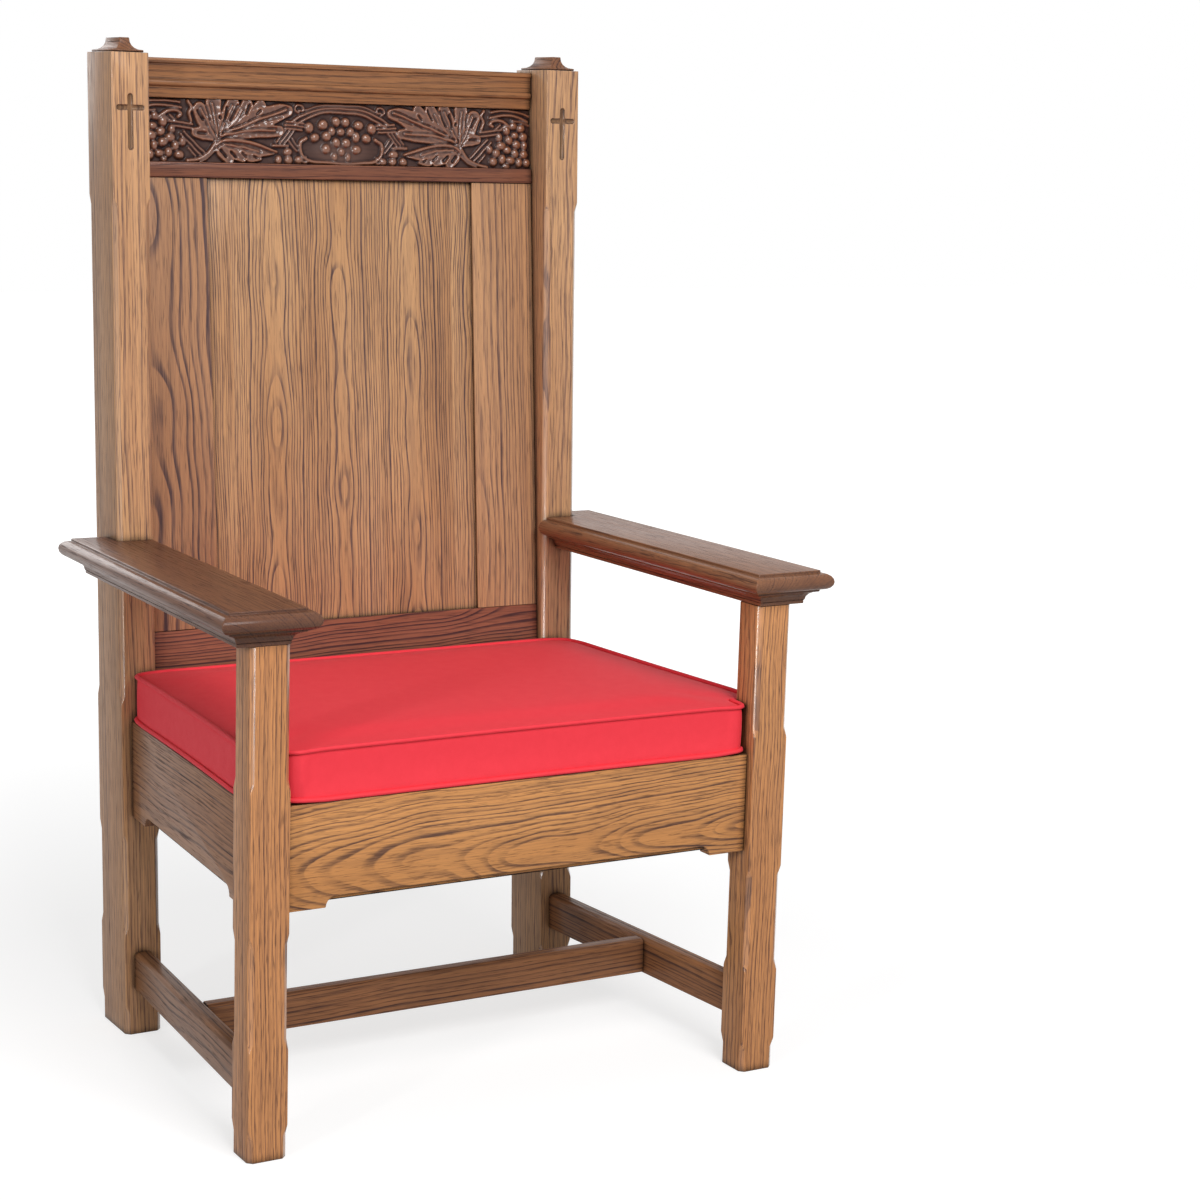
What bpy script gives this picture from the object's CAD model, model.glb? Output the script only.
import math

import bpy
import numpy as np
from mathutils import Matrix, Vector


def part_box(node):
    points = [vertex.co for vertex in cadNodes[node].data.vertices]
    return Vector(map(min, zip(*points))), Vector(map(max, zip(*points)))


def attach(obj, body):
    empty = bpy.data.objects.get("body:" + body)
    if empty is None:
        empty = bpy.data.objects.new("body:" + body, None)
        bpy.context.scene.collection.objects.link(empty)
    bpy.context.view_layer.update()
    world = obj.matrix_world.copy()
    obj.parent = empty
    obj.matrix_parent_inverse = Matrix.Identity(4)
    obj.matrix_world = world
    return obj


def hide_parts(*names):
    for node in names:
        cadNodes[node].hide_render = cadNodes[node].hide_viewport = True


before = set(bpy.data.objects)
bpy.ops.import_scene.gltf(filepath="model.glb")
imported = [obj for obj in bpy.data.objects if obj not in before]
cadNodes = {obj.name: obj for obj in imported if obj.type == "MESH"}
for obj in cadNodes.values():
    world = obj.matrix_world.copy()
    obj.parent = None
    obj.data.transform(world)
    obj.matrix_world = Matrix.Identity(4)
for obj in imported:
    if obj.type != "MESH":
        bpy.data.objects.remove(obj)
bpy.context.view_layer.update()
scene = bpy.context.scene
print("frame loaded,", len(cadNodes), "pieces")


def assign(thing, **values):
    for name, value in values.items():
        setattr(thing, name, value)
    return thing


# camera
viewpoint = {
    "place": (-1.4880, -2.9058, 1.1751),
    "azimuth": -30.96,  # degrees, from straight in front
    "lookDown": 10.18,
    "roll": 1.74,
    "optics": {"lens": 78.56, "sensor_width": 36, "clip_end": 50},
}


def awayFrom(azimuth, height):  # unit vector from the chair, by degrees from straight in front and up
    turn = math.radians(azimuth)
    high = math.radians(height)
    return Vector((math.sin(turn) * math.cos(high), -math.cos(turn) * math.cos(high), math.sin(high)))


def makeCamera():
    turn = math.radians(viewpoint["azimuth"])
    roll = math.radians(viewpoint["roll"])
    back = awayFrom(viewpoint["azimuth"], viewpoint["lookDown"])
    level = Vector((math.cos(turn), math.sin(turn), 0))
    upright = back.cross(level)
    right = level * math.cos(roll) + upright * math.sin(roll)
    up = upright * math.cos(roll) - level * math.sin(roll)
    axes = Matrix((right, up, back)).transposed().to_4x4()
    camera = bpy.data.objects.new("camera", bpy.data.cameras.new("camera"))
    camera.matrix_world = Matrix.Translation(viewpoint["place"]) @ axes
    assign(camera.data, **viewpoint["optics"])
    scene.collection.objects.link(camera)
    scene.camera = camera


makeCamera()
print("camera set")


# small helpers for node trees
def addNode(tree, kind, settings=None, **sockets):
    made = assign(tree.nodes.new(kind), **(settings or {}))
    for name, value in sockets.items():
        put(tree, value, socketOf(made, name))
    return made


def socketOf(made, name):  # by number, as in i0, or by name
    if name.startswith("i") and name[1:].isdigit():
        return made.inputs[int(name[1:])]
    return made.inputs[name.replace("_", " ")]


def put(tree, value, socket):  # links an output, or writes a plain value
    if isinstance(value, bpy.types.NodeSocket):
        tree.links.new(value, socket)
    elif isinstance(value, bpy.types.Node):
        tree.links.new(value.outputs[0], socket)
    elif socket.type == "RGBA":
        socket.default_value = (*value[:3], 1)
    else:
        socket.default_value = value


def setInputs(made, values):
    for name, value in values.items():
        made.inputs[name].default_value = value


def calc(tree, operation, *values):
    made = addNode(tree, "ShaderNodeMath", {"operation": operation})
    for socket, value in zip(made.inputs, values):
        put(tree, value, socket)
    return made.outputs[0]


def plus(tree, first, second):
    return calc(tree, "ADD", first, second)


def minus(tree, first, second):
    return calc(tree, "SUBTRACT", first, second)


def times(tree, first, second):
    return calc(tree, "MULTIPLY", first, second)


def dot(tree, first, second):
    made = addNode(tree, "ShaderNodeVectorMath", {"operation": "DOT_PRODUCT"}, i0=first, i1=second)
    return made.outputs["Value"]


def stretched(tree, vector, scale):
    return addNode(tree, "ShaderNodeVectorMath", {"operation": "MULTIPLY"}, i0=vector, i1=scale).outputs[0]


def noise(tree, vector, scale, detail=2.0, roughness=0.5):
    space = stretched(tree, vector, scale)
    made = addNode(tree, "ShaderNodeTexNoise", Vector=space, Scale=1.0, Detail=detail, Roughness=roughness)
    return made.outputs[0]


def chance(tree, value):  # a random number and colour for each whole value
    return addNode(tree, "ShaderNodeTexWhiteNoise", {"noise_dimensions": "1D"}, W=value).outputs


def ramp(tree, factor, stops):
    made = addNode(tree, "ShaderNodeValToRGB", Fac=factor)
    while len(made.color_ramp.elements) < len(stops):
        made.color_ramp.elements.new(0.5)
    for element, (place, value) in zip(made.color_ramp.elements, stops):
        element.position = place
        element.color = (value, value, value, 1)
    return made.outputs[0]


def mixed(tree, factor, first, second, blend="MIX"):
    made = addNode(tree, "ShaderNodeMix", {"data_type": "RGBA", "blend_type": blend})
    put(tree, factor, made.inputs[0])
    put(tree, first, made.inputs[6])
    put(tree, second, made.inputs[7])
    return made.outputs[2]


def objectSpace(tree):
    return addNode(tree, "ShaderNodeTexCoord").outputs["Object"]


def paint(tree, surface, colour, roughness):
    put(tree, colour, surface.inputs["Base Color"])
    put(tree, roughness, surface.inputs["Roughness"])


def addBump(tree, surface, height, strength, distance):
    bump = addNode(tree, "ShaderNodeBump", Height=height, Strength=strength, Distance=distance)
    put(tree, bump, surface.inputs["Normal"])


def newMaterial(name):
    made = bpy.data.materials.new(name)
    made.use_nodes = True
    surface = made.node_tree.nodes["Principled BSDF"]
    return made, made.node_tree, surface


# oak: growth rings round a pith that lies behind the face of the board
figure = {  # scales run along the grain, across the board and into it
    "shift": 9.0,  # along the grain, between boards glued edge to edge
    "swing": 0.03,  # and across it
    "wanderScale": (5.2, 6, 6),
    "waverScale": (10, 34, 34),
    "waver": 0.0024,  # how far a ring strays from its circle
    "unevenScale": 0.41,
    "uneven": 1.8,  # of the ring widths
    "ringStops": [(0.0, 0.08), (0.07, 1.0), (0.24, 0.85), (0.44, 0.12), (1.0, 0.0)],
    "weakest": 0.5,  # of the rings
    "breakScale": (13, 75, 75),
    "breakStops": [(0.34, 0.6), (0.62, 1.0)],
    "flatStops": [(0.0, 0.15), (0.36, 1.0)],  # pale where a ring is cut flat
    "fibreScale": (15, 560, 560),
    "fibreRoughness": 0.66,
    "fibre": 1.2,
    "streakScale": (3.2, 105, 105),
    "streak": 0.55,
    "ground": 0.10,  # tone between the rings
    "poreScale": 780.0,
    "poreLimit": 0.57,
    "poreInRing": 0.15,  # more pores in the early wood
    "poreEdge": 8.0,
    "cloudScale": (1.8, 12, 12),
}
figureInputs = ("width", "ring", "tilt", "wander", "line", "dash", "seed")
figureOutputs = ("Tone", "Pore", "Cloud")


def makeFigure():
    tree = bpy.data.node_groups.new("oakFigure", "ShaderNodeTree")
    face = tree.interface
    face.new_socket("Board", in_out="INPUT", socket_type="NodeSocketVector")
    for name in ("pithOffset", "pithDepth", *figureInputs):
        face.new_socket(name, in_out="INPUT", socket_type="NodeSocketFloat")
    for name in figureOutputs:
        face.new_socket(name, in_out="OUTPUT", socket_type="NodeSocketFloat")
    given = tree.nodes.new("NodeGroupInput").outputs
    result = tree.nodes.new("NodeGroupOutput").inputs
    split = addNode(tree, "ShaderNodeSeparateXYZ", Vector=given["Board"]).outputs
    along, across, deep = split[0], split[1], split[2]

    # boards glued edge to edge each get their own figure
    count = calc(tree, "FLOOR", plus(tree, calc(tree, "DIVIDE", across, given["width"]), 0.5))
    luck = chance(tree, plus(tree, count, given["seed"]))["Color"]
    luck = addNode(tree, "ShaderNodeSeparateColor", Color=luck).outputs
    across = minus(tree, across, times(tree, count, given["width"]))
    shifted = plus(tree, along, times(tree, luck[0], figure["shift"]))
    place = addNode(tree, "ShaderNodeCombineXYZ", X=shifted, Y=across, Z=deep).outputs[0]

    # distance from the pith, counted in rings
    wander = minus(tree, noise(tree, place, figure["wanderScale"], 1), 0.5)
    waver = minus(tree, noise(tree, place, figure["waverScale"], 3), 0.5)
    depth = plus(tree, plus(tree, given["pithDepth"], deep), times(tree, along, given["tilt"]))
    depth = plus(tree, depth, times(tree, wander, given["wander"]))
    side = minus(tree, across, given["pithOffset"])
    side = plus(tree, side, times(tree, minus(tree, luck[1], 0.5), figure["swing"]))
    side = plus(tree, side, times(tree, waver, figure["waver"] * 2))
    radius = calc(tree, "SQRT", plus(tree, times(tree, side, side), times(tree, depth, depth)))
    radius = plus(tree, radius, times(tree, waver, figure["waver"]))
    years = calc(tree, "DIVIDE", radius, given["ring"])
    uneven = addNode(tree, "ShaderNodeTexNoise", {"noise_dimensions": "1D"}, W=years, Detail=1.0)
    uneven.inputs["Scale"].default_value = figure["unevenScale"]
    years = plus(tree, years, times(tree, uneven, figure["uneven"]))

    # early wood: dark, broken, some years weaker than others
    early = ramp(tree, calc(tree, "FRACT", years), figure["ringStops"])
    strong = chance(tree, calc(tree, "FLOOR", years))["Value"]
    strong = plus(tree, figure["weakest"], times(tree, strong, 1 - figure["weakest"]))
    broken = ramp(tree, noise(tree, place, figure["breakScale"]), figure["breakStops"])
    early = times(tree, times(tree, early, broken), strong)
    slant = calc(tree, "DIVIDE", calc(tree, "ABSOLUTE", side), plus(tree, radius, 0.001))
    early = times(tree, early, ramp(tree, slant, figure["flatStops"]))

    fibre = noise(tree, place, figure["fibreScale"], 4, figure["fibreRoughness"])
    streak = noise(tree, place, figure["streakScale"])
    fine = figure["poreScale"]
    poreScale = addNode(tree, "ShaderNodeCombineXYZ", X=given["dash"], Y=fine, Z=fine)
    dash = noise(tree, place, poreScale)
    tone = plus(tree, figure["ground"], times(tree, early, given["line"]))
    tone = plus(tree, tone, times(tree, minus(tree, fibre, 0.5), figure["fibre"]))
    tone = plus(tree, tone, times(tree, minus(tree, streak, 0.5), figure["streak"]))
    put(tree, addNode(tree, "ShaderNodeClamp", Value=tone), result["Tone"])
    limit = minus(tree, figure["poreLimit"], times(tree, early, figure["poreInRing"]))
    pore = times(tree, minus(tree, dash, limit), figure["poreEdge"])
    put(tree, addNode(tree, "ShaderNodeClamp", Value=pore), result["Pore"])
    put(tree, noise(tree, place, figure["cloudScale"]), result["Cloud"])
    return tree


oakFigure = makeFigure()

oakFinishes = {
    "golden": {
        "light": (0.63, 0.318, 0.135),
        "dark": (0.140, 0.078, 0.064),
        "pore": (0.085, 0.046, 0.040),
        "gloss": 0.34,
    },
    "brown": {
        "light": (0.45, 0.208, 0.095),
        "dark": (0.098, 0.054, 0.048),
        "pore": (0.060, 0.034, 0.031),
        "gloss": 0.34,
    },
    "dark": {
        "light": (0.250, 0.098, 0.052),
        "dark": (0.066, 0.030, 0.027),
        "pore": (0.042, 0.020, 0.019),
        "gloss": 0.30,
    },
}
varnish = {
    "shine": {"Specular IOR Level": 0.09, "Coat Roughness": 0.15},
    "coat": 0.07,
    "bump": 0.25,
    "bumpDepth": 0.0006,
    "toneRelief": -0.35,
    "toneRough": 0.10,  # added to the roughness
    "poreRough": 0.22,
    "patchStops": [(0.34, 0.0), (0.66, 1.0)],
    "patch": (0.70, 0.60, 0.55),  # where stain is taken up unevenly
    "wearRadius": 0.0020,
    "wearStops": [(0.80, 0.28), (0.985, 0.0)],  # rubbed arrises
    "endStops": [(0.45, 0.0), (0.90, 0.28)],  # end grain takes more stain
    "nook": 0.012,
    "nookStops": [(0.35, 0.16), (0.9, 1.0)],  # stain gathers in the corners
    "cut": (0.12, 0.09, 0.08),  # stain held in a figure cut into the face
    "cutStain": 0.6,
    "polishFrom": 0.92,  # faces that lie square to the piece keep the plain coat
    "polishTo": 0.76,
}
boardDefaults = {
    "width": 20.0,  # of the boards that are glued up, more than any piece here
    "ring": 0.0044,
    "tilt": 0.012,  # of the pith against the face
    "wander": 0.012,
    "line": 0.9,  # strength of the rings
    "dash": 30.0,  # of the pores, shorter with more
    "open": 0.58,
    "patchy": 0.5,
    "tint": (1, 1, 1),
    "coat": varnish["coat"],
}


def boardSpace(tree, grain, faceOut, middle):  # object space turned so that the grain runs along X
    grain = Vector(grain).normalized()
    faceOut = Vector(faceOut)
    faceOut = (faceOut - grain * faceOut.dot(grain)).normalized()
    turn = Matrix((grain, faceOut.cross(grain), faceOut))
    mapping = addNode(tree, "ShaderNodeMapping", Vector=objectSpace(tree))
    setInputs(mapping, {"Rotation": turn.to_euler("XYZ"), "Location": -(turn @ Vector(middle))})
    return mapping.outputs[0]


def figureOf(tree, space, given):
    board = {**boardDefaults, **given}
    group = addNode(tree, "ShaderNodeGroup", {"node_tree": oakFigure}, Board=space)
    setInputs(group, {name: board[name] for name in figureInputs})
    setInputs(group, {"pithOffset": board["pith"][0], "pithDepth": board["pith"][1]})
    return [group.outputs[name] for name in figureOutputs]


def polishArrises(tree, surface, arris, coat):  # chamfers rubbed to a shine
    facing = addNode(tree, "ShaderNodeTexCoord").outputs["Normal"]
    facing = addNode(tree, "ShaderNodeVectorMath", {"operation": "ABSOLUTE"}, i0=facing).outputs[0]
    facing = addNode(tree, "ShaderNodeSeparateXYZ", Vector=facing).outputs
    square = calc(tree, "MAXIMUM", facing[0], calc(tree, "MAXIMUM", facing[1], facing[2]))
    polish = ramp(tree, square, [(varnish["polishTo"], arris), (varnish["polishFrom"], coat)])
    put(tree, polish, surface.inputs["Coat Weight"])


def oakMaterial(name, given):
    board = {**boardDefaults, **given}
    finish = oakFinishes[board["finish"]]
    made, tree, surface = newMaterial("oak_" + name)
    low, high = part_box(name)
    space = boardSpace(tree, board["grain"], board["face"], (low + high) / 2)
    tone, pore, cloud = figureOf(tree, space, board)
    colour = mixed(tree, tone, finish["light"], finish["dark"])
    colour = mixed(tree, times(tree, pore, board["open"]), colour, finish["pore"])
    patchy = times(tree, ramp(tree, cloud, varnish["patchStops"]), board["patchy"])
    colour = mixed(tree, patchy, colour, varnish["patch"], "MULTIPLY")
    bare = addNode(tree, "ShaderNodeNewGeometry").outputs["Normal"]
    rounded = addNode(tree, "ShaderNodeBevel", {"samples": 4}, Radius=varnish["wearRadius"])
    wear = ramp(tree, dot(tree, bare, rounded), varnish["wearStops"])
    colour = mixed(tree, wear, colour, finish["light"])
    endOn = calc(tree, "ABSOLUTE", dot(tree, bare, Vector(board["grain"]).normalized()))
    colour = mixed(tree, ramp(tree, endOn, varnish["endStops"]), colour, finish["dark"])
    nook = addNode(tree, "ShaderNodeAmbientOcclusion", {"samples": 6}, Distance=varnish["nook"])
    stain = ramp(tree, nook.outputs["AO"], varnish["nookStops"])
    colour = mixed(tree, 1.0, colour, stain, "MULTIPLY")
    if "cut" in board:
        split = addNode(tree, "ShaderNodeSeparateXYZ", Vector=space).outputs
        inside = calc(tree, "LESS_THAN", calc(tree, "ABSOLUTE", split[1]), board["cut"][0])
        sunk = times(tree, calc(tree, "LESS_THAN", split[2], board["cut"][1]), inside)
        colour = mixed(tree, times(tree, sunk, varnish["cutStain"]), colour, varnish["cut"], "MULTIPLY")
    colour = mixed(tree, 1.0, colour, board["tint"], "MULTIPLY")
    rough = plus(tree, finish["gloss"], times(tree, pore, varnish["poreRough"]))
    rough = plus(tree, rough, times(tree, tone, varnish["toneRough"]))
    paint(tree, surface, colour, rough)
    relief = minus(tree, times(tree, tone, varnish["toneRelief"]), pore)
    addBump(tree, surface, relief, varnish["bump"], varnish["bumpDepth"])
    setInputs(surface, {**varnish["shine"], "Coat Weight": board["coat"]})
    if "arris" in board:
        polishArrises(tree, surface, board["arris"], board["coat"])
    return made


lean = math.radians(4.5455)  # of the framed back
rake = math.radians(2.119)  # of the back posts
upBack = (0, math.sin(lean), math.cos(lean))
upPost = (0, math.sin(rake), math.cos(rake))
runUp = faceTop = (0, 0, 1)
runAcross = faceRight = (1, 0, 0)
runDeep = faceRear = (0, 1, 0)
faceFront = (0, -1, 0)
faceLeft = (-1, 0, 0)
runLeft = (0.0685, 1, 0)  # of the side rails
runRight = (-0.0685, 1, 0)
armLeft = (0.0247, 1, 0)
armRight = (-0.0247, 1, 0)

# what the boards of a kind share
frontPost = {
    "grain": runUp, "face": faceFront, "finish": "golden",
    "ring": 0.0038, "line": 0.75, "dash": 36, "open": 0.7, "arris": 0.8,
}
backPost = {
    "grain": upPost, "face": faceFront, "finish": "golden", "ring": 0.0036, "line": 0.6, "arris": 1.0,
    "cut": (0.0185, 0.0418),  # half width of the cut cross, and how far out its floor lies
}
postCap = {"grain": runDeep, "face": faceTop, "finish": "brown", "tint": (0.76, 0.74, 0.78)}
rail = {"grain": runAcross, "face": faceFront}
backBoard = {"grain": upBack, "face": faceFront}
leftRail = {"grain": runLeft, "face": faceLeft, "finish": "brown"}
rightRail = {"grain": runRight, "face": faceRight}
arm = {"face": faceTop, "finish": "brown", "ring": 0.0028, "line": 0.5, "coat": 0.20}

# pith: how far it lies across the face and behind it, from the middle of the board
boards = {
    "front_post_left": {**frontPost, "pith": (0.15, 0.10), "seed": 3, "tint": (1.11, 1.04, 1.01)},
    "front_post_right": {**frontPost, "pith": (-0.16, 0.10), "seed": 7, "tint": (1.05, 0.98, 0.95)},
    "back_post_left": {**backPost, "pith": (0.14, 0.11), "seed": 11, "tint": (0.98, 1.07, 1.26)},
    "back_post_right": {**backPost, "pith": (-0.12, 0.13), "seed": 5, "tint": (1.00, 1.14, 1.38)},
    "post_cap_left": {**postCap, "pith": (0.05, 0.08), "seed": 2},
    "post_cap_right": {**postCap, "pith": (-0.06, 0.08), "seed": 9},
    "crest_rail": {
        **rail, "pith": (0.07, 0.07), "seed": 4, "finish": "brown",
        "line": 0.55, "tint": (0.77, 0.76, 0.73),
    },
    "frieze_rail": {**rail, "pith": (0.05, 0.06), "seed": 6, "finish": "dark", "tint": (0.94, 0.96, 1.05)},
    "back_bottom_rail": {
        **rail, "pith": (0.05, 0.02), "seed": 8, "finish": "dark",
        "tilt": 0.06, "wander": 0.03, "line": 1.5, "tint": (1.26, 1.14, 1.24),
    },
    "back_stile_left": {
        **backBoard, "pith": (0.03, 0.045), "seed": 12, "finish": "brown",
        "ring": 0.0086, "tilt": 0.05, "wander": 0.045, "line": 1.1, "tint": (1.08, 1.26, 1.46),
    },
    "back_stile_right": {
        **backBoard, "pith": (0.05, 0.03), "seed": 13, "finish": "golden", "tint": (0.88, 0.97, 1.16),
    },
    "back_panel": {
        **backBoard, "pith": (0.0, 0.020), "seed": 21, "finish": "golden", "width": 0.106,
        "ring": 0.0035, "wander": 0.024, "line": 1.2, "patchy": 0.7, "tint": (0.95, 1.08, 1.25),
    },
    "front_apron": {
        **rail, "pith": (-0.018, 0.030), "seed": 15, "finish": "golden", "ring": 0.0048, "tilt": -0.075,
        "wander": 0.045, "line": 1.05, "tint": (1.04, 0.97, 0.82), "dash": 48, "open": 0.55,
    },
    "rear_apron": {**rail, "face": faceRear, "pith": (0.02, 0.05), "seed": 16, "finish": "brown"},
    "side_apron_left": {**leftRail, "pith": (0.05, 0.05), "seed": 17, "tint": (0.93, 0.96, 0.98)},
    "side_apron_right": {**rightRail, "pith": (0.05, 0.05), "seed": 18, "finish": "golden"},
    "side_stretcher_left": {**leftRail, "pith": (0.03, 0.05), "seed": 19, "tint": (0.73, 0.75, 0.76)},
    "side_stretcher_right": {
        **rightRail, "pith": (0.04, 0.05), "seed": 20, "finish": "brown", "tint": (0.92, 0.90, 0.86),
    },
    "cross_stretcher": {
        **rail, "pith": (0.05, 0.06), "seed": 23, "finish": "brown", "tint": (0.88, 0.86, 0.86),
    },
    "arm_left": {**arm, "grain": armLeft, "pith": (0.09, 0.10), "seed": 25, "tint": (0.47, 0.44, 0.50)},
    "arm_right": {**arm, "grain": armRight, "pith": (-0.09, 0.10), "seed": 27, "tint": (0.70, 0.68, 0.72)},
}


# softened edges and smooth curves on the CAD pieces
edges = {
    "width": 0.0011,
    "segments": 3,
    "angle": 32.0,  # degrees, sharper edges are softened
    "weld": 0.00001,
    "flatten": 0.5,  # degrees
}


def makeSmoothing():
    tree = bpy.data.node_groups.new("smoothCurves", "GeometryNodeTree")
    for way in ("INPUT", "OUTPUT"):
        tree.interface.new_socket("Geometry", in_out=way, socket_type="NodeSocketGeometry")
    given = tree.nodes.new("NodeGroupInput")
    result = tree.nodes.new("NodeGroupOutput")
    angle = tree.nodes.new("GeometryNodeInputMeshEdgeAngle")
    flat = calc(tree, "LESS_THAN", angle, math.radians(edges["angle"]))
    kind = "GeometryNodeSetShadeSmooth"
    onEdges = addNode(tree, kind, {"domain": "EDGE"}, Geometry=given, Shade_Smooth=flat)
    onFaces = addNode(tree, kind, {"domain": "FACE"}, Geometry=onEdges, Shade_Smooth=True)
    put(tree, onFaces, result.inputs[0])
    return tree


smoothCurves = makeSmoothing()


def addModifier(piece, name, kind, **values):
    return assign(piece.modifiers.new(name, kind), **values)


def softenEdges(piece):
    addModifier(piece, "weld", "WELD", merge_threshold=edges["weld"])
    flattest = math.radians(edges["flatten"])
    addModifier(piece, "flatten", "DECIMATE", decimate_type="DISSOLVE", angle_limit=flattest)
    bevel = addModifier(piece, "soften", "BEVEL", width=edges["width"], segments=edges["segments"])
    assign(bevel, limit_method="ANGLE", angle_limit=math.radians(edges["angle"]))
    assign(bevel, use_clamp_overlap=False, miter_outer="MITER_ARC")
    addModifier(piece, "smooth", "NODES", node_group=smoothCurves)


def dress(name, material):
    piece = cadNodes[name]
    piece.data.materials.clear()
    piece.data.materials.append(material)


for name, board in boards.items():
    dress(name, oakMaterial(name, board))
    softenEdges(cadNodes[name])
print("oak pieces finished:", len(boards))


# small helpers for meshes
def gridFaces(rows, columns):  # quads of a grid of points, and the run of points round it
    index = np.arange(rows * columns).reshape(rows, columns)
    quads = np.stack([index[:-1, :-1], index[:-1, 1:], index[1:, 1:], index[1:, :-1]], -1).reshape(-1, 4)
    border = np.concatenate([index[0, :-1], index[:-1, -1], index[-1, :0:-1], index[:0:-1, 0]])
    return quads, border


def addMesh(name, points, faces, smooth=0):  # smooth: how many faces are, counted from the first
    mesh = bpy.data.meshes.new(name)
    mesh.from_pydata(points, [], faces)
    mesh.polygons.foreach_set("use_smooth", np.arange(len(faces)) < smooth)
    piece = bpy.data.objects.new(name, mesh)
    scene.collection.objects.link(piece)
    return piece


def eased(value, start, end):
    share = np.clip((value - start) / (end - start), 0, 1)
    return share * share * (3 - 2 * share)


# carved frieze: vine leaves, grapes and tied stems cut into the board
carving = {
    "step": 0.0008,
    "ground": 0.0058,  # depth of the cut ground behind the face of the back
    "low": 1.1225,  # along the leaning back
    "height": 0.080,
    "room": 0.0002,  # above and below the carving
    "board": 0.014,
    "startY": 0.17579,
    "wornProud": 0.55,  # share of wear on what stands proud, the rest is by height
    "wornRear": 0.55,
}
carvedTo = {  # millimetres above the ground
    "limit": 5.7,
    "leaf": 4.4,
    "leafDip": 1.3,  # along the middle of a lobe
    "leafRim": 0.3,
    "leafRipple": 0.12,
    "rib": 4.7,
    "hollowRim": 0.8,
    "bowl": 1.9,
    "grape": 5.5,
    "grapeRadius": 6.4,  # of one that rises so far
    "gouge": (0.12, 0.10),  # marks of the tool
    "spread": 1.25,  # of ribs and stems, times their radius
}
leafFoot = (174, 30)  # where the ribs meet
leafEye = {"place": (186, 22), "inner": 3.2, "outer": 5.4, "floor": 0.2, "slope": 4.0}
bowlOval = {"level": 16, "wide": 56, "tall": 22}

# half of the design, in millimetres from the middle of the frieze and from its lower edge
leafLobes = [  # points along the middle of a lobe, half width at each
    ([(176, 30), (141, 46), (111, 58), (88, 66), (74, 68)], [6, 12, 15, 11, 7]),
    ([(168, 33), (132, 39), (106, 42), (88, 42)], [6, 9, 9, 7]),
    ([(174, 27), (146, 22), (118, 17), (92, 15)], [6, 10, 9, 2]),
    ([(174, 25), (167, 13), (159, 5)], [5, 9, 7]),
    ([(160, 22), (148, 13), (139, 6)], [6, 10, 6]),
    ([(140, 18), (128, 9), (116, 6)], [6, 9, 3]),
    ([(135, 49), (122, 62), (113, 74)], [8, 10, 8]),
    ([(152, 42), (140, 58), (132, 75)], [8, 10, 8.5]),
    ([(168, 36), (160, 54), (152, 76)], [7, 11, 9]),
    ([(176, 34), (178, 54), (178, 76)], [7, 11, 11]),
    ([(178, 34), (190, 51), (198, 67)], [6, 11, 10]),
    ([(178, 32), (192, 37), (202, 38)], [6, 9, 7]),
]
leafRibs = [  # points, half width, depth of the grooves beside it
    ([(177, 27), (155, 41), (126, 52), (97, 63), (78, 69)], 1.7, 2.4),
    ([(182, 12), (174, 24), (160, 29), (140, 28), (111, 21), (92, 16)], 1.7, 2.2),
    ([(170, 34), (140, 40), (116, 42.5), (94, 43)], 1.4, 1.8),
    ([(166, 24), (142, 21), (118, 15)], 1.0, 1.2),
    ([(177, 30), (186, 47), (196, 68)], 1.1, 1.8),
    ([(175, 32), (176, 52), (180, 74)], 1.1, 1.6),
    ([(171, 34), (162, 54), (153, 73)], 1.1, 1.8),
    ([(160, 42), (147, 56), (139, 68)], 1.0, 1.2),
]
leafHollows = [  # points, half width, depth
    ([(113, 68), (118, 62)], 2.0, 2.2),
    ([(128, 74), (134, 62)], 2.0, 2.6),
    ([(146, 73), (155, 55)], 2.2, 2.8),
    ([(160, 70), (163, 52)], 2.0, 2.8),
    ([(188, 70), (184, 54)], 2.2, 2.4),
    ([(201, 66), (194, 54)], 2.2, 2.4),
    ([(169, 57), (169, 58)], 2.6, 3.2),
    ([(170, 15), (164, 8)], 2.6, 2.6),
    ([(156, 14), (150, 8)], 2.6, 2.6),
    ([(140, 13), (135, 8)], 2.4, 2.4),
    ([(124, 9), (121, 7)], 1.8, 2.0),
    ([(200, 38), (190, 37)], 2.4, 1.8),
    ([(85, 60), (104, 55)], 1.6, 1.4),
]
grapes = [  # place and radius
    (6.4, 56, 6.4), (26, 51.5, 6.8), (45, 48, 6.8), (0, 43.5, 5.4), (13.6, 43.5, 5.8), (21, 36.5, 6.6),
    (37, 35, 6.4), (7.4, 29, 6.2), (21.5, 20, 6.6), (0, 17.5, 5.8), (10, 10.5, 5.4),
    (76, 15, 6.0), (90, 5.5, 5.8), (75, 5, 5.8), (61, 5.5, 5.6),
    (248, 51, 6.4), (270, 55, 6.2), (259, 58, 5.4), (274, 43, 6.2), (261, 45, 5.8), (236, 41, 5.6),
    (251, 38, 6.2), (263, 33, 6.4), (275, 31, 5.8), (239, 30, 6.4), (222, 25, 5.6), (232, 20, 6.0),
    (248, 25, 6.2), (260, 21, 6.2), (274, 20, 6.6), (227, 9, 6.0), (241, 12, 6.2), (253, 11, 6.0),
    (266, 9, 6.2), (278, 8, 6.0), (247, 3, 4.6),
]
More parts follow.
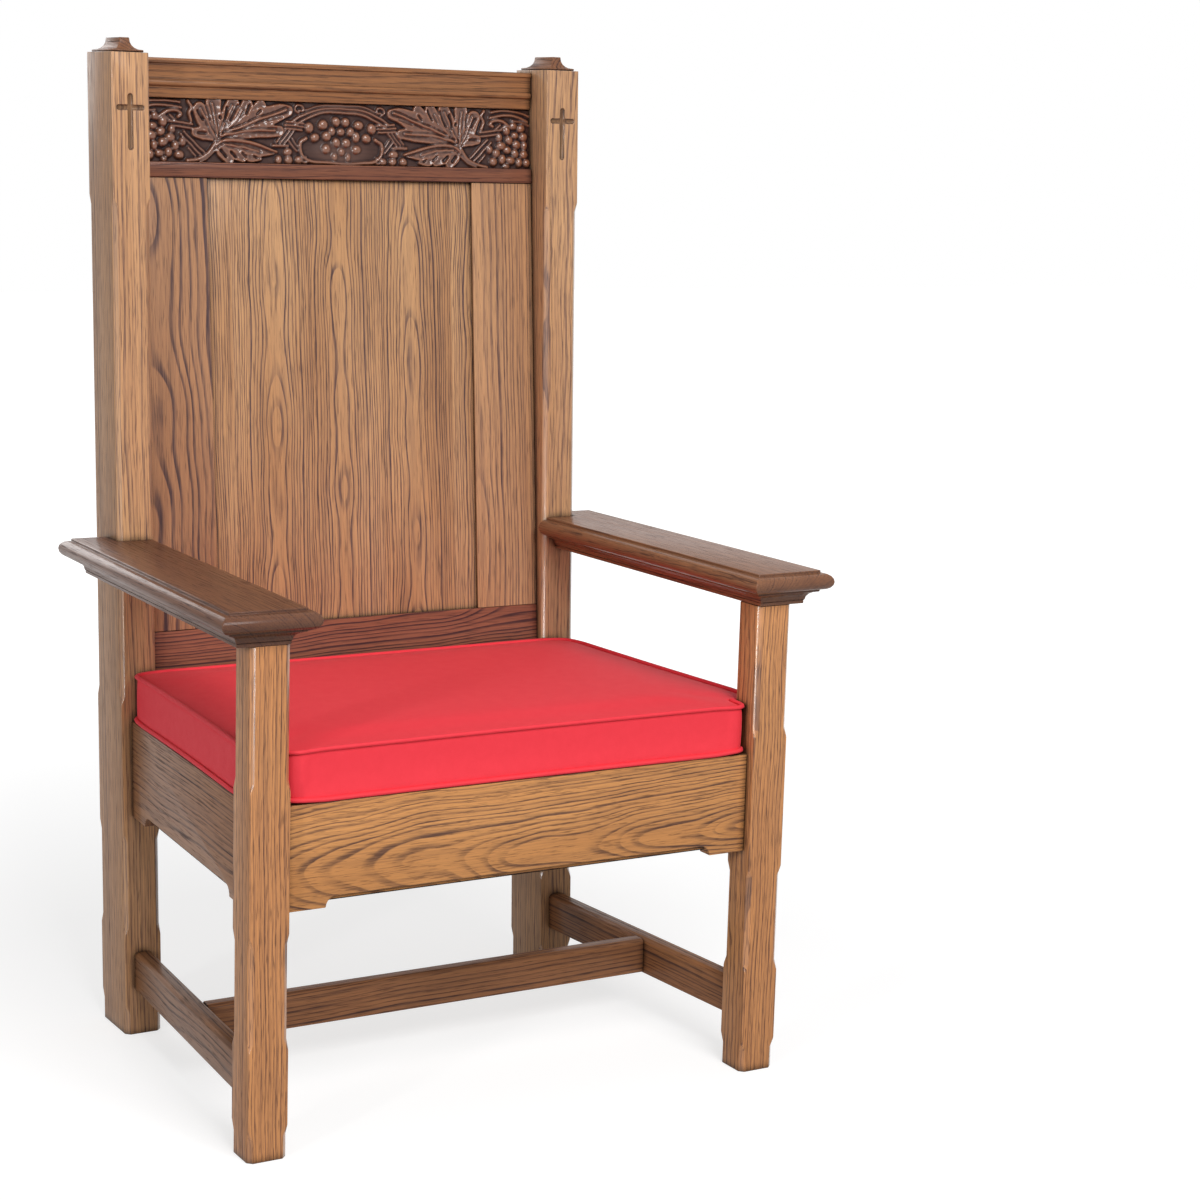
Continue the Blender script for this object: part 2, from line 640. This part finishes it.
stems = [  # points, radius, rise
    ([(0, 74), (30, 71), (55, 63), (70, 54)], 1.8, 3.6),
    ([(0, 69), (28, 66.5), (51, 58.5), (66, 50)], 1.8, 3.6),
    ([(0, 78), (32, 75.5), (50, 70)], 1.4, 2.8),
    ([(52, 53), (78, 54)], 1.5, 3.8),
    ([(53, 48.5), (80, 49.5)], 1.5, 4.0),
    ([(55, 44), (80, 45)], 1.5, 3.8),
    ([(68, 42), (81, 26)], 1.4, 3.3),
    ([(73, 43), (86, 27)], 1.4, 3.5),
    ([(78, 44), (91, 28)], 1.4, 3.3),
    ([(76, 23), (96, 23.5)], 2.0, 3.4),
    ([(50, 34), (59, 28), (58, 14), (47, 5), (28, 2.5), (0, 2)], 2.2, 4.2),
    ([(64, 17), (76, 31)], 1.5, 3.0),
    ([(62, 22), (70, 33)], 1.3, 2.6),
    ([(46, 6), (53, 2.5), (57, 7), (51, 10)], 1.5, 3.6),
    ([(178, 24), (186, 12), (200, 5), (216, 2)], 2.4, 4.2),
    ([(176, 16), (188, 6), (199, 1)], 1.8, 3.4),
    ([(192, 13), (219, 39)], 1.5, 3.2),
    ([(197, 10), (224, 35)], 1.5, 3.2),
    ([(204, 9), (214, 18)], 1.4, 3.0),
    ([(206, 43), (236, 45.5)], 1.6, 3.4),
    ([(207, 48), (240, 51)], 1.6, 3.4),
    ([(213, 77), (209, 70), (212, 62), (209, 52)], 2.0, 4.0),
    ([(256, 55), (241, 63), (229, 64), (222, 60), (226, 56)], 2.3, 4.2),
    ([(246, 58), (236, 50)], 1.6, 3.2),
    ([(238, 58), (229, 51)], 1.6, 3.2),
    ([(222, 68), (246, 71), (262, 70.5), (280, 63)], 1.8, 3.6),
    ([(224, 75), (247, 77), (268, 75.5), (283, 70)], 1.6, 3.2),
    ([(59, 66), (64, 70), (61, 75.5), (54, 75), (53, 69), (58, 69)], 1.4, 3.2),
    ([(283, 58), (270, 63), (258, 65)], 1.5, 3.0),
]


def smoothRun(points, parts=8):  # curve through the points
    points = np.array(points, float)
    if len(points) < 3:
        return points
    padded = np.vstack([2 * points[0] - points[1], points, 2 * points[-1] - points[-2]])
    run = []
    for a, b, c, d in zip(padded, padded[1:], padded[2:], padded[3:]):
        squared = 2 * a - 5 * b + 4 * c - d
        cubed = 3 * b - a - 3 * c + d
        for t in np.arange(parts) / parts:
            run.append(0.5 * (2 * b + (c - a) * t + squared * t**2 + cubed * t**3))
    run.append(points[-1])
    return np.array(run)


def nearRun(across, up, points, widths):  # distance to a smooth run, and to its outline
    run = smoothRun(points)
    middle = np.full(across.shape, 1e3)
    outline = np.full(across.shape, 1e3)
    spread = np.interp(np.linspace(0, 1, len(run)), np.linspace(0, 1, len(widths)), widths)
    for a, b, wide, wideNext in zip(run, run[1:], spread, spread[1:]):
        step = b - a
        share = np.clip(((across - a[0]) * step[0] + (up - a[1]) * step[1]) / (step @ step), 0, 1)
        gap = np.hypot(across - a[0] - share * step[0], up - a[1] - share * step[1])
        middle = np.minimum(middle, gap)
        outline = np.minimum(outline, gap - wide - share * (wideNext - wide))
    return middle, outline


def ridge(value, middle, width):
    return np.exp(-(((value - middle) / width) ** 2))


def roundTop(share):  # height of a ball at a share of its radius
    return np.sqrt(np.clip(1 - share**2, 0, 1))


def leafRise(across, up):  # height of the leaf, and distance to its edge
    edge = np.full(across.shape, 1e3)
    blade = np.zeros(across.shape)
    for points, widths in leafLobes:
        middle, outline = nearRun(across, up, points, widths)
        edge = np.minimum(edge, outline)
        share = np.clip(-outline / np.maximum(middle - outline, 0.1), 0, 1)
        lobe = carvedTo["leaf"] - carvedTo["leafDip"] * eased(share, 0.05, 0.8)
        blade = np.maximum(blade, lobe * (1 - eased(outline, -0.9, 0.2)))
    fromFoot = np.hypot(across - leafFoot[0], up - leafFoot[1])
    blade += carvedTo["leafRim"] * ridge(edge, -1.1, 0.9)
    blade += carvedTo["leafRipple"] * np.sin(fromFoot / 1.4)
    for points, width, deep in leafRibs:
        middle = nearRun(across, up, points, [width, width])[0]
        blade = np.maximum(blade, carvedTo["rib"] * np.exp(-((middle / width / carvedTo["spread"]) ** 4)))
        blade -= deep * ridge(middle, width + 1.3, 0.8)
    for points, width, deep in leafHollows:
        outline = nearRun(across, up, points, [width, width])[1]
        blade += carvedTo["hollowRim"] * ridge(outline, 0.5, 0.8) - deep * (1 - eased(outline, -1.4, 0.3))
    return blade, edge


def carvedHeight(x, z):  # rise above the ground, in millimetres
    # lines that stray a little, and marks of the gouge
    across = np.abs(np.abs(x) + 0.6 * np.sin(x / 9 + z / 13) + 0.4 * np.sin(x / 4.1 - z / 6))
    up = z + 0.5 * np.sin(x / 8.3 + 1.0) + 0.35 * np.sin(z / 5 + x / 17)
    coarse, fine = carvedTo["gouge"]
    rise = coarse * np.sin(x / 2.3 + np.sin(z / 3.1)) + fine * np.sin(z / 1.7 + x / 5)
    blade, edge = leafRise(across, up)
    rise = np.maximum(rise, blade * (1 - eased(edge, -0.6, 0.6)))
    eye = np.hypot(across - leafEye["place"][0], up - leafEye["place"][1])
    floor = leafEye["floor"] + leafEye["slope"] * eased(eye, leafEye["inner"], leafEye["outer"])
    rise = np.where(eye < leafEye["outer"], np.minimum(rise, floor), rise)
    for points, radius, top in stems:
        middle = nearRun(across, up, points, [radius, radius])[0]
        rise = np.maximum(rise, top * roundTop(middle / radius / carvedTo["spread"]))
    oval = np.hypot(across / bowlOval["wide"], (up - bowlOval["level"]) / bowlOval["tall"])
    rise = np.maximum(rise, carvedTo["bowl"] * (1 - eased(oval, 0.35, 1.0)))
    for count, (place, level, radius) in enumerate(grapes):
        squash = 1 + 0.10 * math.sin(count * 2.4)  # no two alike
        gap = np.hypot((across - place) / squash, (up - level) * squash) / (radius * 1.07)
        top = carvedTo["grape"] * radius / carvedTo["grapeRadius"]
        rise = np.maximum(rise, top * roundTop(gap))
    return np.minimum(rise, carvedTo["limit"])


def blurred(field, reach):  # mean of the points within reach
    for axis in (0, 1):
        padding = [(reach, reach) if i == axis else (0, 0) for i in (0, 1)]
        total = np.cumsum(np.pad(field, padding, mode="edge"), axis=axis)
        total = np.insert(total, 0, 0, axis=axis)
        size = field.shape[axis]
        high = np.take(total, np.arange(2 * reach + 1, size + 2 * reach + 1), axis=axis)
        field = (high - np.take(total, np.arange(size), axis=axis)) / (2 * reach + 1)
    return field


def makeFrieze():
    lowCorner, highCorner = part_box("carved_frieze")
    columns = round((highCorner.x - lowCorner.x) / carving["step"]) + 1
    rows = round(carving["height"] / carving["step"]) + 1
    x = np.linspace(lowCorner.x, highCorner.x, columns)
    s = np.linspace(carving["room"], carving["height"] - carving["room"], rows)
    gridX, gridS = np.meshgrid(x, s)
    rise = blurred(carvedHeight(gridX * 1000, gridS * 1000), 1)

    def placed(behind):  # points of the grid, so far behind the face of the back
        along = gridS + carving["low"]
        y = carving["startY"] + along * math.sin(lean) + behind * math.cos(lean)
        z = along * math.cos(lean) - behind * math.sin(lean)
        return np.stack([gridX, y, z], -1).reshape(-1, 3)

    quads, border = gridFaces(rows, columns)
    points = np.vstack([placed(carving["ground"] - rise / 1000), placed(carving["board"])[border]])
    rear = rise.size + np.arange(len(border))
    walls = np.stack([border, rear, np.roll(rear, -1), np.roll(border, -1)], -1)
    faces = quads.tolist() + walls.tolist() + [rear[::-1].tolist()]
    piece = addMesh("vineFrieze", points.tolist(), faces, len(quads))
    proud = np.clip((rise - blurred(rise, 4)) / 3.2 + 0.5, 0, 1)
    worn = proud * carving["wornProud"] + np.clip(rise / 5.0, 0, 1) * (1 - carving["wornProud"])
    values = np.concatenate([worn.ravel(), np.full(len(border), carving["wornRear"])])
    layer = piece.data.attributes.new("worn", "FLOAT", "POINT")
    layer.data.foreach_set("value", values.astype(np.float32))
    return piece


vineFinish = {
    "hollow": (0.014, 0.006, 0.007),
    "ground": (0.064, 0.027, 0.019),
    "wood": (0.125, 0.048, 0.027),
    "rubbed": (0.27, 0.106, 0.052),
    "wornSteps": [("ground", 0.08, 0.36), ("wood", 0.36, 0.60), ("rubbed", 0.60, 0.92)],
    "grain": (0.5, 0.38, 0.33),
    "grainShare": 0.5,
    "roughness": 0.44,
    "wornGloss": 0.18,  # less rough where it is rubbed
    "bump": 0.15,
    "bumpDepth": 0.0005,
    "coatStops": [(0.12, 0.05), (0.34, 0.35), (0.56, 0.90)],  # dull in the hollows
    "shine": {"Specular IOR Level": 0.12, "Coat IOR": 1.55, "Coat Roughness": 0.14},
    "board": {"pith": (0.06, 0.07), "seed": 31},
}


def friezeMaterial():
    made, tree, surface = newMaterial("carvedOak")
    low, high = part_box("carved_frieze")
    space = boardSpace(tree, runAcross, faceFront, (low + high) / 2)
    tone, pore = figureOf(tree, space, vineFinish["board"])[:2]
    worn = addNode(tree, "ShaderNodeAttribute", {"attribute_name": "worn"}).outputs["Fac"]
    colour = vineFinish["hollow"]
    for shade, start, end in vineFinish["wornSteps"]:
        colour = mixed(tree, ramp(tree, worn, [(start, 0.0), (end, 1.0)]), colour, vineFinish[shade])
    grain = times(tree, tone, vineFinish["grainShare"])
    colour = mixed(tree, grain, colour, vineFinish["grain"], "MULTIPLY")
    rough = minus(tree, vineFinish["roughness"], times(tree, worn, vineFinish["wornGloss"]))
    paint(tree, surface, colour, rough)
    addBump(tree, surface, times(tree, pore, -1.0), vineFinish["bump"], vineFinish["bumpDepth"])
    put(tree, ramp(tree, worn, vineFinish["coatStops"]), surface.inputs["Coat Weight"])
    setInputs(surface, vineFinish["shine"])
    return made


vineFrieze = makeFrieze()
vineFrieze.data.materials.append(friezeMaterial())
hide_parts("carved_frieze")
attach(vineFrieze, "frame")
print("frieze carved,", len(vineFrieze.data.polygons), "faces")


# hidden woodwork and fixings
hiddenWood = {
    "beech": {"light": (0.62, 0.44, 0.28), "dark": (0.46, 0.30, 0.18)},
    "ply": {"light": (0.60, 0.44, 0.28), "dark": (0.42, 0.28, 0.16)},
    "pith": (0.2, 0.2),
    "roughness": 0.52,
    "toneRough": 0.15,
    "bump": 0.12,
    "bumpDepth": 0.0004,
}
screws = {
    "light": (0.62, 0.61, 0.58),
    "dark": (0.42, 0.41, 0.40),
    "scratchScale": (600, 600, 600),
    "roughness": 0.22,
    "scratchRough": 0.25,
}


def plainWood(name, kind, grain, faceOut, seed):
    made, tree, surface = newMaterial(name)
    shades = hiddenWood[kind]
    space = boardSpace(tree, grain, faceOut, (0, 0, 0))
    tone = figureOf(tree, space, {"pith": hiddenWood["pith"], "seed": seed})[0]
    rough = plus(tree, hiddenWood["roughness"], times(tree, tone, hiddenWood["toneRough"]))
    paint(tree, surface, mixed(tree, tone, shades["light"], shades["dark"]), rough)
    addBump(tree, surface, tone, hiddenWood["bump"], hiddenWood["bumpDepth"])
    return made


def screwSteel():
    made, tree, surface = newMaterial("screwSteel")
    scratch = noise(tree, objectSpace(tree), screws["scratchScale"], 3)
    rough = plus(tree, screws["roughness"], times(tree, scratch, screws["scratchRough"]))
    paint(tree, surface, mixed(tree, scratch, screws["light"], screws["dark"]), rough)
    surface.inputs["Metallic"].default_value = 1.0
    return made


beechAlongX = plainWood("beechAlongX", "beech", runAcross, faceTop, 41)
beechAlongY = plainWood("beechAlongY", "beech", runDeep, faceTop, 43)
beechUpright = plainWood("beechUpright", "beech", runUp, faceRear, 44)
plyFace = plainWood("plyFace", "ply", runAcross, faceTop, 47)
steel = screwSteel()
for name in cadNodes:
    if "screw" in name:
        dress(name, steel)
        addModifier(cadNodes[name], "smooth", "NODES", node_group=smoothCurves)
    elif "cleat" in name:
        dress(name, beechAlongY if name.startswith("side") else beechAlongX)
    elif "dowel" in name:
        dress(name, beechUpright if name.startswith("cap") else beechAlongY)
    elif name == "seat_board":
        dress(name, plyFace)
print("hidden pieces finished")

# loose cushion: boxed pad that fits between the front posts, with a welt round each edge
cushion = {
    "low": 0.4139,
    "height": 0.065,
    "crown": 0.0065,  # before it is filled
    "tab": 0.3100,  # half width between the posts
    "front": -0.2727,
    "notch": -0.2346,  # behind the front posts
    "wide": 0.3479,
    "narrow": 0.3186,
    "rear": 0.1934,
    "radii": {"tab": 0.018, "notch": 0.004, "wide": 0.016, "narrow": 0.022},  # of the corners
    "draw": 0.0028,  # how far the sides pull in between corners
    "bulge": 0.0012,
    "lift": 0.0022,  # of the lower corners
    "dip": 0.0016,  # of the upper ones
    "softFrom": 0.006,  # distance from a corner
    "softTo": 0.050,
    "columns": 57,
    "walls": 7,  # rows of faces between the seams
    "fill": 0.85,
}
filling = {
    "cloth": {
        "quality": 4,
        "mass": 0.3,
        "tension_stiffness": 15,
        "compression_stiffness": 15,
        "shear_stiffness": 5,
        "bending_stiffness": 0.5,
        "use_pressure": True,
        "uniform_pressure_force": 4.0,
        "vertex_group_mass": "held",
    },
    "frames": 20,
    "swell": 0.0045,  # most that a point may move
    "tight": 0.0006,  # and beside the posts and the back
    "seamEase": 0.15,  # how freely the edges move
    "wallEase": 0.6,  # more between the seams
}
piping = {"radius": 0.0028, "sides": 10, "proud": 0.15}


def roundedRun(corners, parts):  # points from corner to corner, each corner cut by its own radius
    run = []
    for before, corner, after, count in zip(corners, corners[1:], corners[2:], parts):
        here, ahead = Vector(corner[:2]), Vector(after[:2])
        start = here + (Vector(before[:2]) - here).normalized() * corner[2]
        end = here + (ahead - here).normalized() * corner[2]
        for t in (0, 0.25, 0.5, 0.75, 1):
            run.append(start * (1 - t) ** 2 + here * (2 * t * (1 - t)) + end * t**2)
        stop = ahead + (here - ahead).normalized() * after[2]
        for k in range(1, count):
            run.append(end.lerp(stop, k / count))
    return run


def padGrid():  # plan of the pad, row by row from front to rear
    tab, wide, narrow = cushion["tab"], cushion["wide"], cushion["narrow"]
    front, notch, rear = cushion["front"], cushion["notch"], cushion["rear"]
    radii = cushion["radii"]
    corners = [
        (0, front, 0),
        (tab, front, radii["tab"]),
        (tab, notch, radii["notch"]),
        (wide, notch, radii["wide"]),
        (narrow, rear, radii["narrow"]),
        (0, rear, 0),
    ]
    side = np.array([tuple(p) for p in roundedRun(corners, (4, 4, 34, 1))])
    side[:, 0] -= cushion["draw"] * np.clip(np.sin(np.pi * (side[:, 1] - notch) / (rear - notch)), 0, 1)
    steps = np.maximum(np.diff(side[:, 1]), 0.004)
    level = front + np.insert(np.cumsum(steps), 0, 0) * (rear - front) / steps.sum()
    u = np.linspace(-1, 1, cushion["columns"])[None, :]
    outer = np.abs(u) ** 6  # only the columns near the sides follow the notch
    x = u * tab + (side[:, :1] - tab) * outer * np.sign(u)
    y = level[:, None] + (side[:, 1:] - level[:, None]) * outer
    v = (y - front) / (rear - front)
    y = y + cushion["draw"] * (1 - u**2) * (1 - 2 * v)
    return np.stack([x, y], -1), (u + 1) / 2 + 0 * v, v


def makePad():
    plan, u, v = padGrid()
    low, walls = cushion["low"], cushion["walls"]
    seamLow = low + piping["radius"]
    seamTop = low + cushion["height"] - piping["radius"]
    dome = np.clip((1 - np.abs(2 * u - 1) ** 5) * (1 - np.abs(2 * v - 1) ** 4), 0, 1)
    top = seamTop + cushion["crown"] * (0.1 * np.sqrt(dome) + 0.9 * dome)
    under = seamLow + (low - seamLow) * np.clip(dome / 0.12, 0, 1)
    quads, border = gridFaces(*plan.shape[:2])
    flat = plan.reshape(-1, 2)
    edge = flat[border]
    step = np.roll(edge, -1, 0) - np.roll(edge, 1, 0)
    outward = np.stack([step[:, 1], -step[:, 0]], -1) / np.linalg.norm(step, axis=1, keepdims=True)
    ends = (("tab", "front"), ("wide", "notch"), ("narrow", "rear"))
    gaps = [np.hypot(np.abs(flat[:, 0]) - cushion[a], flat[:, 1] - cushion[b]) for a, b in ends]
    soft = 1 - eased(np.min(gaps, 0), cushion["softFrom"], cushion["softTo"])  # the corners are softer
    lift, dip = cushion["lift"] * soft[border], cushion["dip"] * soft
    top = top.ravel() - dip
    under = under.ravel()
    under[border] += lift
    points = [np.column_stack([flat, top]), np.column_stack([flat, under])]
    stiff = filling["seamEase"]
    ease = [eased(dome.ravel(), 0, 0.7) * (1 - stiff) + stiff, np.zeros(len(flat))]
    loops = [border + len(flat)]
    for k in range(1, walls):
        t = k / walls
        out = math.sin(math.pi * t)
        height = seamLow + lift * (1 - t) ** 2 - dip[border] * t**2 + (seamTop - seamLow) * t
        loops.append(2 * len(flat) + (k - 1) * len(border) + np.arange(len(border)))
        points.append(np.column_stack([edge + outward * cushion["bulge"] * out, height]))
        ease.append(np.full(len(border), stiff + filling["wallEase"] * out))
    loops.append(border)
    faces = quads.tolist() + (quads[:, ::-1] + len(flat)).tolist()
    for a, b in zip(loops, loops[1:]):
        faces += np.stack([a, np.roll(a, -1), np.roll(b, -1), b], -1).tolist()
    piece = addMesh("seatPad", np.vstack(points).tolist(), faces, len(faces))
    held = piece.vertex_groups.new(name="held")
    held.add(list(range(len(flat), 2 * len(flat))), 1.0, "REPLACE")
    return piece, loops[0], loops[-1], outward, np.concatenate(ease)


def fillPad(piece, ease):  # ease: how freely each point moves, less near the seams
    start = np.array([v.co for v in piece.data.vertices])
    modifier = piece.modifiers.new("filling", "CLOTH")
    assign(modifier.settings, **filling["cloth"])
    modifier.settings.effector_weights.gravity = 0
    modifier.collision_settings.use_collision = False
    modifier.point_cache.frame_end = filling["frames"]
    for count in range(1, filling["frames"] + 1):
        scene.frame_set(count)
    filled = piece.evaluated_get(bpy.context.evaluated_depsgraph_get())
    moved = np.array([v.co for v in filled.data.vertices]) - start
    piece.modifiers.remove(modifier)
    scene.frame_set(1)
    reach = np.linalg.norm(moved, axis=1, keepdims=True)
    moved *= filling["swell"] * np.tanh(reach / filling["swell"]) / np.maximum(reach, 1e-9)
    moved *= ease[:, None]
    tight = (np.abs(start[:, 0]) > cushion["tab"] - 0.02) & (start[:, 1] < cushion["notch"] + 0.012)
    tight |= start[:, 1] > cushion["rear"] - 0.02
    sideways = np.linalg.norm(moved[tight, :2], axis=1, keepdims=True)
    moved[tight, :2] *= np.minimum(1, filling["tight"] / np.maximum(sideways, 1e-9))
    piece.data.vertices.foreach_set("co", (start + moved).ravel())
    piece.data.update()
    piece.vertex_groups.clear()


def makeWelt(name, piece, loop, outward):  # piping along a seam of the pad
    seam = np.array([piece.data.vertices[i].co for i in loop])
    out = np.column_stack([outward, np.zeros(len(outward))])
    sides = piping["sides"]
    rings = []
    for k in range(sides):
        turn = 2 * math.pi * k / sides
        rise = np.array([0, 0, math.sin(turn)])
        rings.append(seam + piping["radius"] * (out * (math.cos(turn) + piping["proud"]) + rise))
    points = np.stack(rings, 1).reshape(-1, 3)
    index = np.arange(len(points)).reshape(len(seam), sides)
    ahead = np.roll(index, -1, 0)
    faces = np.stack([index, ahead, np.roll(ahead, -1, 1), np.roll(index, -1, 1)], -1).reshape(-1, 4)
    return addMesh(name, points.tolist(), faces.tolist(), len(faces))


fabric = {
    "colour": (0.87, 0.027, 0.047),
    "thread": (0.91, 0.043, 0.067),
    "threadShare": 0.7,
    "slub": (0.78, 0.66, 0.66),
    "slubShare": 0.34,
    "weave": {"Scale": 560.0, "Distortion": 1.2},
    "slubScale": (75, 75, 75),
    "slubRoughness": 0.65,
    "napScale": (900, 900, 900),
    "relief": {"weave": 0.4, "slub": 0.7, "nap": 0.5},
    "bump": 0.20,
    "bumpDepth": 0.0005,
    "roughness": 0.62,
    "slubRough": 0.2,
    "shine": {"Specular IOR Level": 0.5, "Sheen Weight": 0.10, "Sheen Roughness": 0.45},
    "haze": {"Sheen Tint": (0.95, 0.42, 0.42, 1)},
}


def makeCloth(name, shade):
    made, tree, surface = newMaterial(name)
    space = objectSpace(tree)
    threads = []
    for direction in ("X", "Y", "Z"):
        wave = addNode(tree, "ShaderNodeTexWave", {"bands_direction": direction}, Vector=space)
        setInputs(wave, fabric["weave"])
        threads.append(wave.outputs[1])
    weave = times(tree, plus(tree, threads[0], threads[2]), plus(tree, threads[1], threads[2]))
    slub = noise(tree, space, fabric["slubScale"], 4, fabric["slubRoughness"])
    nap = noise(tree, space, fabric["napScale"])
    thread = times(tree, nap, fabric["threadShare"])
    colour = mixed(tree, thread, fabric["colour"], fabric["thread"])
    thick = times(tree, slub, fabric["slubShare"])
    colour = mixed(tree, thick, colour, fabric["slub"], "MULTIPLY")
    colour = mixed(tree, 1.0, colour, (shade, shade, shade), "MULTIPLY")
    rough = plus(tree, fabric["roughness"], times(tree, slub, fabric["slubRough"]))
    paint(tree, surface, colour, rough)
    relief = fabric["relief"]
    loose = plus(tree, times(tree, slub, relief["slub"]), times(tree, nap, relief["nap"]))
    height = plus(tree, times(tree, weave, relief["weave"]), loose)
    addBump(tree, surface, height, fabric["bump"], fabric["bumpDepth"])
    setInputs(surface, {**fabric["shine"], **fabric["haze"]})
    return made


seatPad, lowSeam, topSeam, seamOut, padEase = makePad()
fillPad(seatPad, padEase)
redCloth = makeCloth("redCloth", 1.0)
redPiping = makeCloth("redPiping", 0.97)
seatPad.data.materials.append(redCloth)
addModifier(seatPad, "smooth", "SUBSURF", levels=1, render_levels=1)
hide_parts("seat_cushion")
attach(seatPad, "cushion")
welts = (("topWelt", "cushion_welt_top", topSeam), ("lowWelt", "cushion_welt_bottom", lowSeam))
for name, node, seam in welts:
    welt = makeWelt(name, seatPad, seam, seamOut)
    welt.data.materials.append(redPiping)
    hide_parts(node)
    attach(welt, "cushion")
print("cushion filled and piped")

# floor, backdrop and light
studio = {
    "floorHalf": 14,
    "floor": {"Base Color": (0.42, 0.42, 0.42, 1), "Roughness": 0.9, "Specular IOR Level": 0.0},
    "glow": [(0.72, 0.69), (3.0, 1.0)],  # of the floor as the camera sees it, by distance
    "glowReach": 4.0,
    "ambient": 0.26,
    "aim": (0, 0, 0.6),
    "strip": {"azimuth": -59, "height": 11, "far": 6.5, "size": (0.43, 2.5), "power": 88},
    "room": {"azimuth": -4, "height": 38, "far": 4.2, "size": (2.0, 2.0), "power": 145},
    "rear": {"azimuth": 184, "height": 20, "far": 4.5, "size": (2.0, 2.0), "power": 36},
}


def seenRays(tree):  # rays that show the backdrop, rather than take light from it
    rays = addNode(tree, "ShaderNodeLightPath").outputs
    mirrored = calc(tree, "MAXIMUM", rays["Is Glossy Ray"], rays["Is Transmission Ray"])
    return calc(tree, "MAXIMUM", rays["Is Camera Ray"], mirrored)


def makeFloor():
    half = studio["floorHalf"]
    points = [(-half, -half, 0), (half, -half, 0), (half, half, 0), (-half, half, 0)]
    piece = addMesh("floor", points, [(0, 1, 2, 3)])
    made, tree, surface = newMaterial("paleFloor")
    setInputs(surface, {**studio["floor"], "Emission Color": (1, 1, 1, 1)})
    away = addNode(tree, "ShaderNodeVectorMath", {"operation": "LENGTH"}, i0=objectSpace(tree))
    reach = studio["glowReach"]
    stops = [(far / reach, bright) for far, bright in studio["glow"]]
    glow = ramp(tree, calc(tree, "DIVIDE", away.outputs["Value"], reach), stops)
    put(tree, times(tree, seenRays(tree), glow), surface.inputs["Emission Strength"])
    piece.data.materials.append(made)


def makeWorld():
    world = bpy.data.worlds.new("studio")
    world.use_nodes = True
    tree = world.node_tree
    strength = plus(tree, studio["ambient"], times(tree, seenRays(tree), 1 - studio["ambient"]))
    background = tree.nodes["Background"]
    background.inputs["Color"].default_value = (1, 1, 1, 1)
    put(tree, strength, background.inputs["Strength"])
    scene.world = world


def makeLight(name):
    lamp = studio[name]
    away = awayFrom(lamp["azimuth"], lamp["height"])
    wide, tall = lamp["size"]
    light = bpy.data.lights.new(name, "AREA")
    assign(light, shape="RECTANGLE", size=wide, size_y=tall, energy=lamp["power"])
    piece = bpy.data.objects.new(name, light)
    piece.location = Vector(studio["aim"]) + away * lamp["far"]
    piece.rotation_euler = away.to_track_quat("Z", "Y").to_euler()
    scene.collection.objects.link(piece)


makeFloor()
makeWorld()
for name in ("strip", "room", "rear"):
    makeLight(name)
scene.view_settings.view_transform = "Standard"
print("studio ready")

bpy.context.view_layer.update()
